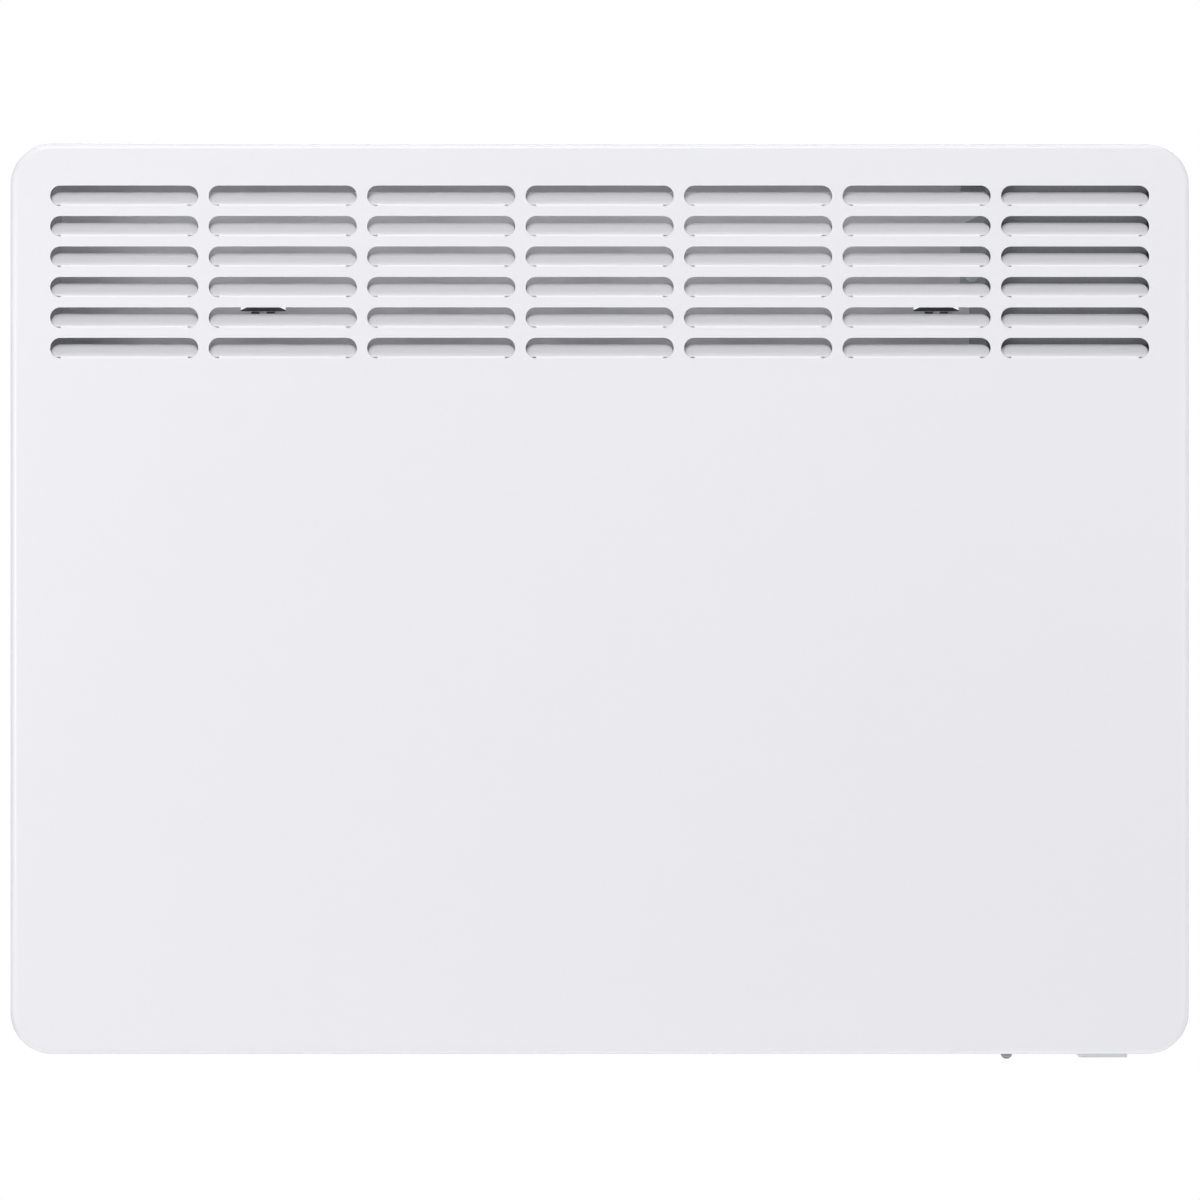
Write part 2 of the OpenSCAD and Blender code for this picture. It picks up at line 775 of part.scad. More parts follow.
// Bright sheet that keeps the element's heat off the back of the pan
heat_shield_t = 0.5;
heat_shield_foot = 12;
heat_shield_ramp = 6;
heat_shield_end_gap = 12;
heat_shield_bay_gap = 4;
heat_shield_below = 12;
heat_shield_above = 26;
heat_shield_off = 7;
heat_shield_x0 = support_x + heat_shield_end_gap;
heat_shield_x1 = bay_x - bay_flange_w - heat_shield_bay_gap;
heat_shield_up0 = element_up - fin_h / 2 - heat_shield_below;
heat_shield_up1 = element_up + fin_h / 2 + heat_shield_above;
heat_shield_out = pan_in + heat_shield_off;
module rear_heat_shield() color("#c9cbce") on_wall() difference() {
    along_x(heat_shield_x0, heat_shield_x1) bent([
        [pan_in, heat_shield_up0], [pan_in, heat_shield_up0 + heat_shield_foot],
        [heat_shield_out, heat_shield_up0 + heat_shield_foot + heat_shield_ramp],
        [heat_shield_out, heat_shield_up1 - heat_shield_foot - heat_shield_ramp],
        [pan_in, heat_shield_up1 - heat_shield_foot], [pan_in, heat_shield_up1]
    ], -heat_shield_t);
    for (p = inner_screw_places) screw_hole(p.x, p.y, pan_in - past, pan_in + past);
}

module element_tube() color("#6f7073") on_wall() {
    for (run = [-1, 1])
        round_x(support_x - tube_stub, insulator_x, element_up + run * tube_span / 2, element_out, tube_r);
    translate([support_x - tube_stub, element_up, element_out])
        rotate_extrude(angle = 180, start = 90) translate([tube_span / 2, 0]) circle(tube_r);
}

module element_fins() color("#b9bbbe") on_wall() {
    count = floor(fins_l / fin_pitch) + 1;
    for (i = [0 : count - 1])
        along_x(fins_x0 + i * fin_pitch, fins_x0 + i * fin_pitch + fin_t)
            translate([element_out, element_up]) difference() {
                rounded_rect(fin_d, fin_h, fin_corner_r);
                for (run = [-1, 1]) translate([0, run * tube_span / 2]) circle(tube_r + run_gap);
            }
}

// Where the screws stand that hold the element's flange to the partition
flange_screw_places = [
    for (run = [-1, 1], side = [-1, 1])
        [element_up + run * (tube_span / 2 + flange_screw_rise), element_out + side * flange_screw_side]
];
module element_flange() color("#9b9da0") on_wall() difference() {
    along_x(bay_x - flange_t, bay_x) translate([element_out, element_up])
        rounded_rect(element_flange_w, tube_span + 2 * element_flange_over, element_flange_r);
    for (run = [-1, 1])
        round_x(bay_x - flange_t - past, bay_x + past, element_up + run * tube_span / 2, element_out,
            tube_r + run_gap);
    for (p = flange_screw_places)
        round_x(bay_x - flange_t - past, bay_x + past, p.x, p.y, screw_r + screw_gap);
}

// Bracket under the bend of the element, with one foot on the pan
module element_support() color("#9b9da0") on_wall() difference() {
    union() {
        along_x(support_x, support_x + support_t)
            translate([pan_in, element_up - tube_span / 2 - support_rim])
                square([element_out - pan_in + support_rim, tube_span + 2 * support_rim]);
        block(
            [support_x - support_foot, support_x + support_t],
            [element_up - tube_span / 2 - support_rim, element_up + tube_span / 2 + support_rim],
            [pan_in, pan_in + support_t]
        );
    }
    for (run = [-1, 1])
        round_x(support_x - past, support_x + support_t + past, element_up + run * tube_span / 2,
            element_out, tube_r + run_gap);
    for (p = inner_screw_places) screw_hole(p.x, p.y, pan_in - past, pan_in + support_t + past);
}

module element_insulators() color("#f0ece2") on_wall() for (run = [-1, 1])
    translate([insulator_x, element_up + run * tube_span / 2, element_out]) rotate([0, 90, 0])
        rotate_extrude() polygon([
            [pin_r + run_gap, 0], [tube_r, 0], [tube_r, insulator_collar],
            [tube_r - insulator_taper, insulator_l], [pin_r + run_gap, insulator_l]
        ]);

module element_terminals() color("#c8a85a") on_wall() for (run = [-1, 1]) {
    up = element_up + run * tube_span / 2;
    round_x(insulator_x, spade_x, up, element_out, pin_r);
    block(
        [spade_x, spade_x + spade_l], [up - spade_half_w, up + spade_half_w],
        [element_out - spade_half_t, element_out + spade_half_t]
    );
}

// Snap disc that breaks the circuit if the air outlet is covered
module thermal_cutout() color("#1f1f21") on_wall() {
    difference() {
        round_x(cutout_x, cutout_tab_x, cutout_up, cutout_out, cutout_r);
        round_x(cutout_x - past, cutout_x + cutout_dish, cutout_up, cutout_out, cutout_hole_r);
    }
    for (side = [-1, 1]) block(
        [cutout_tab_x, cutout_tab_x + cutout_tab_l],
        [cutout_up + side * cutout_tab_off - spade_half_w, cutout_up + side * cutout_tab_off + spade_half_w],
        [cutout_out + side * cutout_tab_off - spade_half_t, cutout_out + side * cutout_tab_off + spade_half_t]
    );
}

module cutout_bracket() color("#9b9da0") on_wall() difference() {
    along_x(bay_x + sheet_t, cutout_x) translate([cutout_out, cutout_up])
        stadium(2 * (cutout_r + cutout_ear), 2 * (cutout_r + cutout_rim));
    round_x(bay_x, cutout_x + past, cutout_up, cutout_out, cutout_hole_r);
}

module control_housing() color("#c3c5c9") on_wall() difference() {
    along_x(housing_x, side_in) translate([knob_out, knob_up]) rounded_rect(housing_w, housing_l, housing_r);
    along_x(recess_x, side_in + past) translate([knob_out, knob_up]) rotate(90)
        stadium(recess_l - 2 * recess_lip, recess_w - 2 * recess_lip);
    round_x(housing_x - past, recess_x + past, knob_up, knob_out, shaft_r + shaft_clear);
    for (side = [-1, 1])
        round_x(housing_x - past, recess_x + past, knob_up + side * thermostat_pitch, knob_out,
            screw_r + screw_gap);
}

module thermostat_body() color("#e8e4d8") on_wall() difference() {
    union() {
        block(
            [thermostat_x, housing_x],
            [knob_up - thermostat_h / 2, knob_up + thermostat_h / 2],
            [thermostat_mid - thermostat_w / 2, thermostat_mid + thermostat_w / 2]
        );
        block(
            [housing_x - thermostat_flange_t, housing_x],
            [
                knob_up - thermostat_h / 2 - thermostat_flange,
                knob_up + thermostat_h / 2 + thermostat_flange
            ],
            [thermostat_mid - thermostat_w / 2, thermostat_mid + thermostat_w / 2]
        );
    }
    round_x(housing_x - shaft_in, housing_x + past, knob_up, knob_out, shaft_r + run_gap);
    for (side = [-1, 1])
        round_x(housing_x - thermostat_screw_in, housing_x + past,
            knob_up + side * thermostat_pitch, knob_out, screw_r + screw_gap);
}

module thermostat_shaft() color("#b0b2b5") on_wall() difference() {
    round_x(housing_x - shaft_in + side_gap, knob_x + knob_h - knob_web - seat_gap,
        knob_up, knob_out, shaft_r);
    block(
        [knob_x + side_gap, knob_x + knob_h], [knob_up + shaft_r - shaft_flat, knob_up + shaft_r + past],
        [knob_out - shaft_d, knob_out + shaft_d]
    );
}

module thermostat_knob() color("#f2f2f2") on_wall() difference() {
    union() {
        along_x(knob_x, knob_x + knob_skirt_h) translate([knob_out, knob_up]) circle(knob_d / 2);
        along_x(knob_x, knob_x + knob_h) translate([knob_out, knob_up]) difference() {
            circle(knob_d / 2 - knob_grip_in);
            for (turn = [flute_turn : flute_turn : 360 - flute_turn])
                rotate(turn) translate([0, knob_d / 2 - knob_grip_in / 2]) circle(flute_r);
        }
    }
    round_x(knob_x - past, knob_x + knob_h - knob_web, knob_up, knob_out, shaft_r + run_gap);
    block(
        [knob_x + knob_h - pointer_deep, knob_x + knob_h + past],
        [knob_up + pointer_from, knob_up + knob_d / 2 + past],
        [knob_out - pointer_w / 2, knob_out + pointer_w / 2]
    );
}

module thermostat_screws() color("#a9abae") on_wall() for (side = [-1, 1])
    translate([recess_x, knob_up + side * thermostat_pitch, knob_out]) rotate([0, -90, 0])
        screw(recess_x - housing_x + thermostat_screw_in - thermostat_screw_spare);

// Bulb that feels the room air under the heater
module room_sensor_bulb() color("#4a4b4e") on_wall() {
    foot = -half_h - bulb_drop;
    translate([bulb_x, foot, bulb_out]) rotate([-90, 0, 0]) rotate_extrude() {
        difference() {
            translate([0, bulb_d / 2]) circle(bulb_d / 2);
            translate([-bulb_d, 0]) square([bulb_d, bulb_d]);
            translate([-bulb_d, bulb_d / 2]) square([2 * bulb_d, bulb_d]);
        }
        translate([0, bulb_d / 2]) square([bulb_d / 2, bulb_l - bulb_d / 2]);
        translate([0, bulb_l]) square([bulb_neck_r, bulb_neck_l]);
    }
}

module sensor_clip() color("#e9e9e9") on_wall() difference() {
    union() {
        round_up(bulb_x, clip_up, clip_up + clip_h, bulb_out, bulb_d / 2 + clip_wall);
        block(
            [bay_x + sheet_t, bulb_x], [clip_up, clip_up + clip_h],
            [bulb_out - clip_arm / 2, bulb_out + clip_arm / 2]
        );
    }
    round_up(bulb_x, clip_up - past, clip_up + clip_h + past, bulb_out, bulb_d / 2 + run_gap);
}

// A tube or wire along a smooth curve through hand-picked points
function through(p, i, t) =
    let (
        a = p[max(i - 1, 0)], b = p[i], c = p[i + 1], d = p[min(i + 2, len(p) - 1)]
    )
    0.5 * (2 * b + (c - a) * t + (2 * a - 5 * b + 4 * c - d) * t * t
        + (3 * b - a - 3 * c + d) * t * t * t);
function curve(p, steps) = concat(
    [for (i = [0 : len(p) - 2], k = [0 : steps - 1]) through(p, i, k / steps)], [p[len(p) - 1]]
);
// A direction that no wire runs along
wire_side = [0.31, 0.17, 0.93];
module wire(points, d, steps = 5) {
    path = curve(points, steps);
    sides = 8;
    last = len(path) - 1;
    rings = [
        for (i = [0 : last])
            let (
                along = unit(
                    i == 0 ? points[1] - points[0]
                    : i == last ? points[len(points) - 1] - points[len(points) - 2]
                    : path[i + 1] - path[i - 1]
                ),
                across = unit(cross(along, wire_side)),
                over = cross(along, across)
            )
            for (k = [0 : sides - 1])
                path[i] + d / 2 * (across * cos(360 * k / sides) + over * sin(360 * k / sides))
    ];
    walls = [
        for (i = [0 : last - 1], k = [0 : sides - 1])
            let (a = i * sides, b = (k + 1) % sides)
            each [[a + k, a + sides + k, a + sides + b], [a + k, a + sides + b, a + b]]
    ];
    ends = [
        for (k = [1 : sides - 2])
            each [[0, k, k + 1], [last * sides, last * sides + k + 1, last * sides + k]]
    ];
    polyhedron(rings, concat(walls, ends));
}

wire_d = 2.4;
pole_x = [for (i = [-1, 0, 1]) gland_x + i * pole_pitch];
block_top = block_up + block_h / 2;
block_out = pan_in + block_feet + block_d / 2;
wire_start = block_top - wire_in;
terminal_tip = spade_x + spade_l + seat_gap;
cutout_tip = cutout_tab_x + cutout_tab_l + seat_gap;

module sensor_capillary() color("#b87b4b") on_wall() wire([
    [bulb_x, -half_h - bulb_drop + bulb_l + bulb_neck_l + seat_gap, bulb_out],
    [bulb_x, -half_h + 80, bulb_out],
    [bulb_x + 6, -half_h + 160, bulb_out - 4], [bulb_x + 14, 0, bulb_out - 8],
    [bulb_x + 26, 70, bulb_out - 8], [thermostat_x + 8, knob_up - 44, thermostat_mid],
    [thermostat_x + 8, knob_up - 30, thermostat_mid],
    [thermostat_x + 8, knob_up - thermostat_h / 2 - seat_gap, thermostat_mid]
], capillary_d, 6);

module switch_body() color("#1d1d1f") on_wall() {
    opening_w = rocker_w + 2 * rocker_side_gap;
    opening_l = rocker_l + 2 * rocker_end_gap;
    difference() {
        union() {
            along_up(-half_h - bezel_t, -half_h) translate([switch_x, switch_out])
                rounded_rect(bezel_w, bezel_l, bezel_r);
            block(
                [switch_x - switch_half_w, switch_x + switch_half_w],
                [-half_h, -half_h + switch_h], [switch_out - switch_half_l, switch_out + switch_half_l]
            );
        }
        block(
            [switch_x - opening_w / 2, switch_x + opening_w / 2],
            [-half_h - bezel_t - past, -half_h + switch_cavity],
            [switch_out - opening_l / 2, switch_out + opening_l / 2]
        );
        round_x(switch_x - bezel_w, switch_x + bezel_w, pivot_up, switch_out, pivot_r + run_gap);
    }
}

// The rocker, as out and up from its pivot, level
module rocker_profile() {
    drop = rocker_face + pivot_up;
    hub = rocker_hub_r - rocker_hub_in;
    circle(rocker_hub_r);
    polygon([
        [-hub, rocker_shoulder], [hub, rocker_shoulder],
        [rocker_l / 2, -drop + rocker_edge], [rocker_l / 2, -drop], [0, -drop + rocker_dish],
        [-rocker_l / 2, -drop], [-rocker_l / 2, -drop + rocker_edge]
    ]);
}

module switch_rocker() color("#d4d6d9") on_wall() {
    translate([0, pivot_up, switch_out]) rotate([-rocker_tilt, 0, 0]) {
        along_x(switch_x - rocker_w / 2, switch_x + rocker_w / 2) rocker_profile();
        round_x(
            switch_x - switch_half_w, switch_x + switch_half_w, 0, 0, pivot_r
        );
    }
}

module switch_tabs() color("#c8a85a") on_wall() for (pole = [-1, 1], end = [-1, 1])
    block(
        [switch_x + pole * pole_offset - spade_half_t, switch_x + pole * pole_offset + spade_half_t],
        [-half_h + switch_h, tab_top],
        [switch_out + end * tab_offset - spade_half_w, switch_out + end * tab_offset + spade_half_w]
    );

module terminal_block() color("#f1efe6") on_wall() difference() {
    union() {
        block(
            [gland_x - block_w / 2, gland_x + block_w / 2], [block_up - block_h / 2, block_top],
            [pan_in + block_feet, block_face]
        );
        for (side = [-1, 1]) {
            x = gland_x + side * (block_w / 2 - block_foot_in);
            round_out(x, block_up, pan_in, pan_in + block_feet, block_foot_r);
            round_out(x, block_up, wall_gap - block_pin_show, pan_in, block_pin_r);
        }
    }
    for (x = pole_x) {
        round_up(x, block_up - block_h, block_up + block_h, block_out, pole_r);
        for (side = [-1, 1])
            round_out(x, block_up + side * clamp_screw_off, block_out, block_face + past,
                clamp_screw_r + screw_gap);
    }
}

module terminal_screws() color("#c8a85a") on_wall() for (x = pole_x, side = [-1, 1])
    round_out(x, block_up + side * clamp_screw_off, block_out + clamp_screw_tip,
        block_face - clamp_screw_sunk, clamp_screw_r);

// Bush that lines the hole where the supply cable comes in
module cable_gland() color("#26272a") on_wall() translate([gland_x, gland_up, 0])
    rotate_extrude() polygon([
        [cable_r, wall_gap - gland_out], [gland_r - gland_taper, wall_gap - gland_out],
        [gland_r, wall_gap - gland_flange], [gland_r + gland_rim, wall_gap - gland_flange],
        [gland_r + gland_rim, wall_gap], [gland_r, wall_gap], [gland_r, gland_end],
        [cable_r, gland_end]
    ]);

module gland_nut() color("#26272a") on_wall() translate([gland_x, gland_up, pan_in]) difference() {
    cylinder(h = nut_t, r = gland_r + nut_wall, $fn = 6);
    translate([0, 0, -past]) cylinder(h = nut_t + 2 * past, r = gland_r + screw_gap);
}

module earth_stud() color("#c9a24d") on_wall() {
    round_out(stud_x, stud_up, wall_gap - stud_head_t, wall_gap, stud_r + stud_head_lap);
    round_out(stud_x, stud_up, wall_gap, wall_gap + stud_l, stud_r);
    translate([stud_x, stud_up, pan_in]) difference() {
        union() {
            cylinder(h = washer_t, r = stud_r + washer_lap);
            translate([0, 0, washer_t]) cylinder(h = stud_nut_t, r = stud_r + stud_nut_lap, $fn = 6);
        }
        translate([0, 0, -past]) cylinder(h = washer_t + stud_nut_t + 2 * past, r = stud_r / 2);
    }
}

module lead_live() color("#6b3f22") on_wall() wire([
    [pole_x[2], wire_start, block_out], [pole_x[2], block_top + 12, block_out],
    [pole_x[2] + 4, block_top + 19, block_out + 16], [pole_x[2] + 8, block_up, block_out + 38],
    [switch_x + pole_offset, tab_top + 40, switch_out + tab_offset - 1],
    [switch_x + pole_offset, tab_top + 10, switch_out + tab_offset],
    [switch_x + pole_offset, tab_top + seat_gap, switch_out + tab_offset]
], wire_d);

module lead_neutral() color("#2b4f9e") on_wall() wire([
    [pole_x[1], wire_start, block_out], [pole_x[1], block_top + 14, block_out],
    [pole_x[1] + 1, block_top + 21, block_out + 16], [pole_x[1] + 5, block_up, block_out + 38],
    [switch_x - pole_offset, tab_top + 40, switch_out + tab_offset - 1],
    [switch_x - pole_offset, tab_top + 10, switch_out + tab_offset],
    [switch_x - pole_offset, tab_top + seat_gap, switch_out + tab_offset]
], wire_d);

module lead_switched() color("#22221f") on_wall() wire([
    [switch_x + pole_offset, tab_top + seat_gap, switch_out - tab_offset],
    [switch_x + pole_offset, tab_top + 10, switch_out - tab_offset],
    [switch_x + 12, -half_h + 90, switch_out - 12], [bay_right - 8, -60, switch_out - 12],
    [bay_right - 12, 40, switch_out - 10], [housing_x - 12, knob_up - 36, thermostat_mid],
    [housing_x - 12, knob_up - 28, thermostat_mid],
    [housing_x - 12, knob_up - thermostat_h / 2 - seat_gap, thermostat_mid]
], wire_d, 4);

module lead_heated() color("#a3231e") on_wall() wire([
    [thermostat_x - seat_gap, knob_up - 6, thermostat_mid],
    [thermostat_x - 10, knob_up - 6, thermostat_mid],
    [thermostat_x - 18, knob_up - 40, thermostat_mid - 12],
    [bay_x + 36, 30, cutout_out - 8], [bay_x + 40, cutout_up + 20, cutout_out + 4],
    [cutout_tip + 10, cutout_up + cutout_tab_off, cutout_out + cutout_tab_off],
    [cutout_tip, cutout_up + cutout_tab_off, cutout_out + cutout_tab_off]
], wire_d);

module lead_element() color("#a3231e") on_wall() wire([
    [cutout_tip, cutout_up - cutout_tab_off, cutout_out - cutout_tab_off],
    [cutout_tip + 6, cutout_up - cutout_tab_off, cutout_out - cutout_tab_off],
    [cutout_tip + 12, cutout_up - 20, cutout_out],
    [terminal_tip + 6, element_up + tube_span / 2, element_out],
    [terminal_tip, element_up + tube_span / 2, element_out]
], wire_d);

module lead_return() color("#2b4f9e") on_wall() wire([
    [terminal_tip, element_up - tube_span / 2, element_out],
    [terminal_tip + 6, element_up - tube_span / 2, element_out],
    [terminal_tip + 16, element_up - tube_span / 2 - 6, element_out + 4],
    [switch_x - pole_offset, tab_top + 24, switch_out - tab_offset],
    [switch_x - pole_offset, tab_top + 10, switch_out - tab_offset],
    [switch_x - pole_offset, tab_top + seat_gap, switch_out - tab_offset]
], wire_d);

module lead_earth() color("#7fa32c") on_wall() wire([
    [pole_x[0], wire_start, block_out], [pole_x[0], block_top + 8, block_out],
    [pole_x[0] - 10, block_top + 8, block_out + 6],
    [stud_x, stud_up + 24, wall_gap + stud_l + 14], [stud_x, stud_up, wall_gap + stud_l + 8],
    [stud_x, stud_up, wall_gap + stud_l + seat_gap]
], wire_d);

module cover_screws() color("#a9abae") on_wall() for (p = cover_screw_places)
    translate([p.x, p.y, cover_rear - sheet_t]) screw(screw_l);

// Screws through the back of the pan, which hold what stands on it
shield_screw_in = 6;
shield_screw_down = 63.5;
// Heights of the screws in the narrow part of the shield's flange
shield_screws_up = [20, -half_h + 46];
heat_shield_screw_in = 30;
inner_screw_spare = 1;
flange_screw_spare = 1.5;
inner_screw_places = concat(
    [[shield_edge_x + shield_screw_in, half_h - shield_screw_down]],
    [for (up = shield_screws_up) [bay_x - (bay_flange_w - shield_step) / 2, up]],
    [
        for (x = [heat_shield_x0 + heat_shield_screw_in, heat_shield_x1 - heat_shield_screw_in])
            each [[x, heat_shield_up0 + heat_shield_foot / 2], [x, heat_shield_up1 - heat_shield_foot / 2]]
    ],
    [
        for (run = [-1, 1])
            [support_x - support_foot / 2, element_up + run * (tube_span / 2 + support_screw_rise)]
    ]
);
function inner_seat(p) = p.x < support_x ? support_t : p.x > shield_edge_x ? sheet_t : heat_shield_t;
module inner_screws() color("#8f9194") on_wall() {
    for (p = inner_screw_places) translate([p.x, p.y, pan_in + inner_seat(p)]) mirror([0, 0, 1])
        screw(pan_in - wall_gap + inner_seat(p) + inner_screw_spare);
    for (p = flange_screw_places) translate([bay_x - flange_t, p.x, p.y]) rotate([0, 90, 0])
        screw(flange_t + sheet_t + flange_screw_spare);
}

wall_bracket();
back_pan();
front_cover();
inlet_grille();
control_bay_shield();
rear_heat_shield();
wall_buffers();
element_tube();
element_fins();
element_flange();
element_support();
element_insulators();
element_terminals();
thermal_cutout();
cutout_bracket();
control_housing();
thermostat_body();
thermostat_shaft();
thermostat_knob();
thermostat_screws();
room_sensor_bulb();
sensor_clip();
sensor_capillary();
switch_body();
switch_rocker();
switch_tabs();
terminal_block();
terminal_screws();
cable_gland();
gland_nut();
earth_stud();
lead_live();
lead_neutral();
lead_switched();
lead_heated();
lead_element();
lead_return();
lead_earth();
cover_screws();
inner_screws();
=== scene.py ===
"""Looks of a wall convector heater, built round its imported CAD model. Metres, in the model's frame."""

import json
import math

import bmesh
import bpy
from mathutils import Matrix, Vector


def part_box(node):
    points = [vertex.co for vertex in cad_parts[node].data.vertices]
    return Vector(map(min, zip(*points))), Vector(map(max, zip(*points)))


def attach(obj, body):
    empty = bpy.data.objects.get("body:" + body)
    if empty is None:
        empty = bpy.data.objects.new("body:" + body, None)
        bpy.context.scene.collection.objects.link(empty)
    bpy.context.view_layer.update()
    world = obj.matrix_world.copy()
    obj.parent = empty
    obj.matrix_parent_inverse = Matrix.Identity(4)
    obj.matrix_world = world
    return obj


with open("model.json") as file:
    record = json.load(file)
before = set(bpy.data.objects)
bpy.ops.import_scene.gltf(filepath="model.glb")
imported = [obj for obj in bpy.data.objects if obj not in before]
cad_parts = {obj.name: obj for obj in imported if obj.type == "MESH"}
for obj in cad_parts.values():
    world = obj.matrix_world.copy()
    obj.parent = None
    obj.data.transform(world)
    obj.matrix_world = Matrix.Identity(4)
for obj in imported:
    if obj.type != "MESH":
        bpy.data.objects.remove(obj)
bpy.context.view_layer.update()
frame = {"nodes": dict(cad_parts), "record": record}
NODES = frame["nodes"]

# Camera

# The flaps at the two sides of the photograph show how far away its camera was
CAMERA_AWAY = 4.0
CAMERA_X = 0.00017
CAMERA_Z = -0.0007
FRONT_Y = -0.1
FRAME_WIDTH = 0.60045
SENSOR = 36.0

camera_data = bpy.data.cameras.new("camera")
camera_data.sensor_width = SENSOR
camera_data.lens = SENSOR * CAMERA_AWAY / FRAME_WIDTH
camera_data.clip_start = 0.5
camera_data.clip_end = 50.0
camera = bpy.data.objects.new("camera", camera_data)
camera.location = (CAMERA_X, FRONT_Y - CAMERA_AWAY, CAMERA_Z)
camera.rotation_euler = (math.radians(90), 0, 0)
bpy.context.collection.objects.link(camera)
bpy.context.scene.camera = camera

# Material tools

# Sockets of a Mix node that carry colours
MIX_FIRST = 6
MIX_SECOND = 7
MIX_RESULT = 2
BEVEL_SAMPLES = 4


class Shader:
    """A material with a Principled shader, and short calls that add nodes to it."""

    def __init__(self, name, color, roughness, metallic=0.0, specular=0.5):
        self.material = bpy.data.materials.new(name)
        self.material.use_nodes = True
        self.nodes = self.material.node_tree.nodes
        self.links = self.material.node_tree.links
        self.bsdf = self.nodes["Principled BSDF"]
        self.color = color
        self.roughness = roughness
        self.bsdf.inputs["Base Color"].default_value = (*color, 1)
        self.bsdf.inputs["Roughness"].default_value = roughness
        self.bsdf.inputs["Metallic"].default_value = metallic
        self.bsdf.inputs["Specular IOR Level"].default_value = specular
        self.place = self.nodes.new("ShaderNodeTexCoord").outputs["Object"]
        self.normal = None

    def stretched(self, scale):
        mapping = self.nodes.new("ShaderNodeMapping")
        mapping.inputs["Scale"].default_value = scale
        self.links.new(self.place, mapping.inputs["Vector"])
        return mapping.outputs["Vector"]

    def noise(self, per_metre, detail=2.0, rough=0.5, scale=None):
        node = self.nodes.new("ShaderNodeTexNoise")
        node.inputs["Scale"].default_value = per_metre
        node.inputs["Detail"].default_value = detail
        node.inputs["Roughness"].default_value = rough
        self.links.new(self.stretched(scale) if scale else self.place, node.inputs["Vector"])
        return node.outputs["Fac"]

    def cells(self, per_metre):
        node = self.nodes.new("ShaderNodeTexVoronoi")
        node.inputs["Scale"].default_value = per_metre
        self.links.new(self.place, node.inputs["Vector"])
        return node.outputs["Color"]

    def mapped(self, value, low, high, start=0.3, end=0.7):
        """Maps a value's span from start to end onto low to high."""
        node = self.nodes.new("ShaderNodeMapRange")
        node.inputs["From Min"].default_value = start
        node.inputs["From Max"].default_value = end
        node.inputs["To Min"].default_value = low
        node.inputs["To Max"].default_value = high
        self.links.new(value, node.inputs["Value"])
        return node.outputs["Result"]

    def tint(self, value, low, high, start=0.3, end=0.7):
        """Varies the base colour between two multiples of it."""
        ramp = self.nodes.new("ShaderNodeValToRGB")
        ramp.color_ramp.elements[0].position = start
        ramp.color_ramp.elements[1].position = end
        for element, share in zip(ramp.color_ramp.elements, (low, high)):
            share = share if isinstance(share, tuple) else (share, share, share)
            element.color = (*[min(1.0, c * s) for c, s in zip(self.color, share)], 1)
        self.links.new(value, ramp.inputs["Fac"])
        self.links.new(ramp.outputs["Color"], self.bsdf.inputs["Base Color"])
        return self

    def paint_shade_along(self, axis, span, share):
        """Paints shade: darkens the base colour to a share of it at the start of a span along one axis."""
        along = self.nodes.new("ShaderNodeVectorMath")
        along.operation = "DOT_PRODUCT"
        along.inputs[1].default_value = axis
        self.links.new(self.place, along.inputs[0])
        painted_shade = self.nodes.new("ShaderNodeMix")
        painted_shade.data_type = "RGBA"
        painted_shade.blend_type = "MULTIPLY"
        painted_shade.inputs["Factor"].default_value = 1
        base = self.bsdf.inputs["Base Color"]
        self.links.new(base.links[0].from_socket, painted_shade.inputs[MIX_FIRST])
        self.links.new(self.mapped(along.outputs["Value"], share, 1.0, *span), painted_shade.inputs[MIX_SECOND])
        self.links.new(painted_shade.outputs[MIX_RESULT], base)
        return self

    def gloss(self, value, less, more, start=0.3, end=0.7):
        """Varies the roughness from less below its own value to more above it."""
        spread = self.mapped(value, self.roughness - less, self.roughness + more, start, end)
        self.links.new(spread, self.bsdf.inputs["Roughness"])
        return self

    def soft_edges(self, radius):
        node = self.nodes.new("ShaderNodeBevel")
        node.samples = BEVEL_SAMPLES
        node.inputs["Radius"].default_value = radius
        self.normal = node.outputs["Normal"]
        self.links.new(self.normal, self.bsdf.inputs["Normal"])
        return self

    def bump(self, value, depth, strength=1.0):
        node = self.nodes.new("ShaderNodeBump")
        node.inputs["Strength"].default_value = strength
        node.inputs["Distance"].default_value = depth
        self.links.new(value, node.inputs["Height"])
        if self.normal:
            self.links.new(self.normal, node.inputs["Normal"])
        self.normal = node.outputs["Normal"]
        self.links.new(self.normal, self.bsdf.inputs["Normal"])
        return self


def powder_coat(name, color, roughness):
    """Sprayed and baked paint: a faint orange peel, and a tone that drifts a little over the sheet."""
    s = Shader(name, color, roughness, specular=0.45)
    s.tint(s.noise(5, 2), low=0.99, high=1.005, start=0.1, end=0.9)
    s.gloss(s.noise(25, 2), less=0.008, more=0.008, start=0.1, end=0.9)
    return s.soft_edges(0.00015).bump(s.noise(700, 2, 0.4), depth=0.00002, strength=0.5).material


# Where the painted shade on the zinc starts and ends, in y: the zinc is darkened towards the front of the
# heater, where it gets more light than its deep flange
ZINC_PAINTED_SHADE_Y = (-0.075, -0.05)
ZINC_PAINTED_SHADE_SHARE = 0.42


